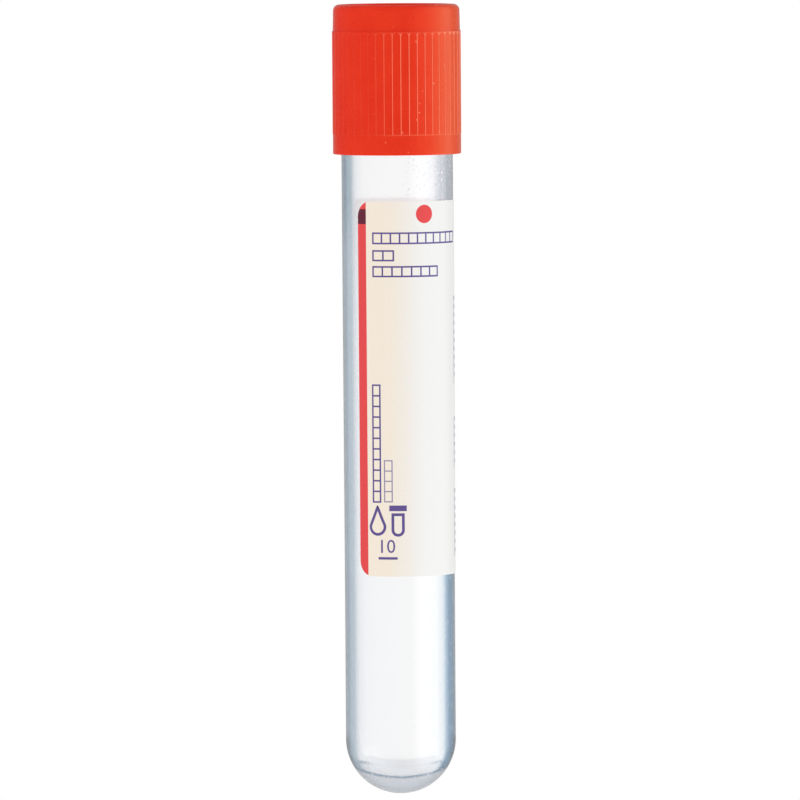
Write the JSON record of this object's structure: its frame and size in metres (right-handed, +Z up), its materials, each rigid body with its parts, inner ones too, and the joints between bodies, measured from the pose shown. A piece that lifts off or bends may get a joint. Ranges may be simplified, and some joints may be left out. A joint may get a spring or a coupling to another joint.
{
  "type": "blood collection tube",
  "caption": "Clear plastic round-ended sample tube standing on its red ribbed push-on safety closure, with a paper label and a rubber stopper, which the tube pulls straight out of.",
  "frame": {"origin": "on the surface that the closure's rim stands on, in the middle of the rim", "axes": "+Z up along the tube's own axis, from the closure to the round end; -Y is the label's front"},
  "size_m": [0.0182, 0.0182, 0.1119],
  "materials": {
    "tube_plastic": "gloss",
    "stopper_rubber": "matte",
    "shield_plastic": "satin",
    "label_paper": "satin"
  },
  "bodies": {
    "closure": {"shield": "shield_plastic", "stopper": "stopper_rubber"},
    "tube": {"tube": "tube_plastic", "label": "label_paper"}
  },
  "joints": [
    {"name": "tube_pull", "type": "slide", "parent": "closure", "child": "tube", "axis": [0, 0, 1], "range_m": [0, 0.03]}
  ]
}
